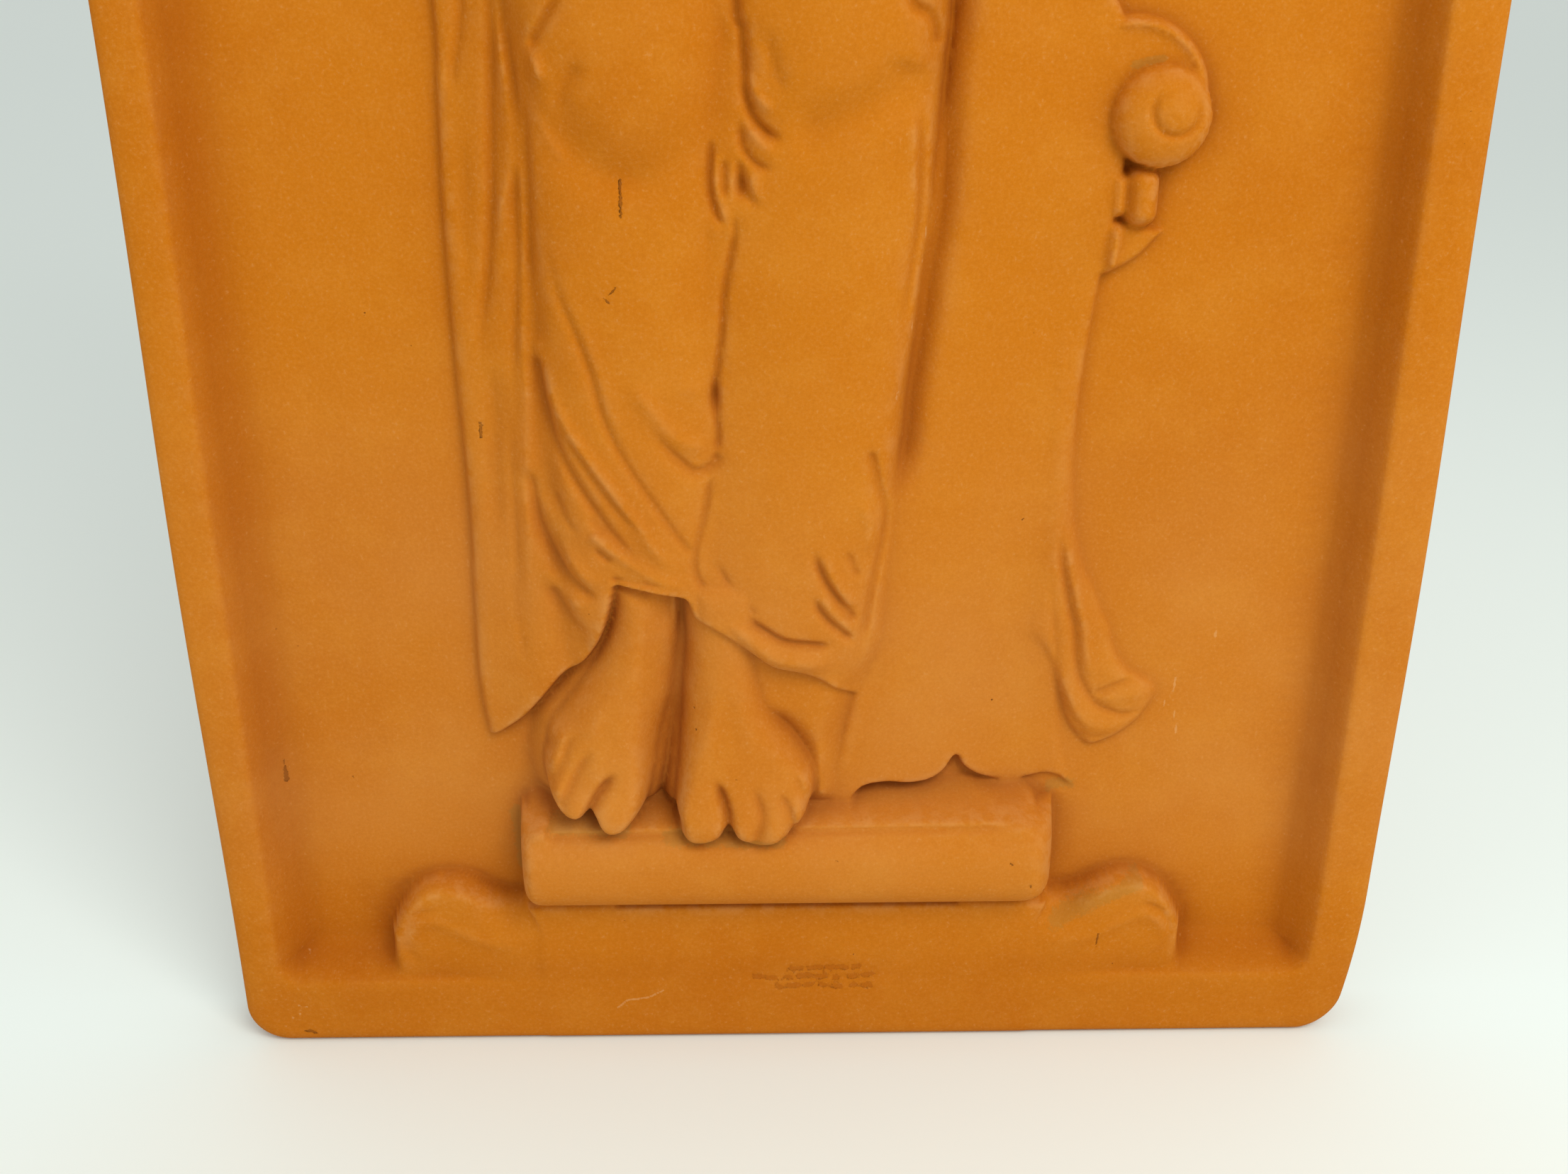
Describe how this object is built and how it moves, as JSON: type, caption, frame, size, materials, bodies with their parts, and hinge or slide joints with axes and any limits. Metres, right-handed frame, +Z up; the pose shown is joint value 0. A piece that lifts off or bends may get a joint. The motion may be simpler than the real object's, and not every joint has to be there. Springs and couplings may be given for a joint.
{
  "type": "decorative wall plaque",
  "caption": "Upright rectangular terracotta wall plaque with a raised coved rim and a low-relief draped barefoot figure on a scroll-footed plinth beside a tapering stand.",
  "frame": {"origin": "middle of the flat back face, which lies against the wall", "axes": "+Z up along the plaque's height, -Y out of the carved front towards the viewer, +Y into the wall, +X to the viewer's right"},
  "size_m": [0.4, 0.044, 0.99],
  "materials": {
    "terracotta": "matte"
  },
  "bodies": {
    "root": {"plaque": "terracotta"}
  },
  "joints": []
}
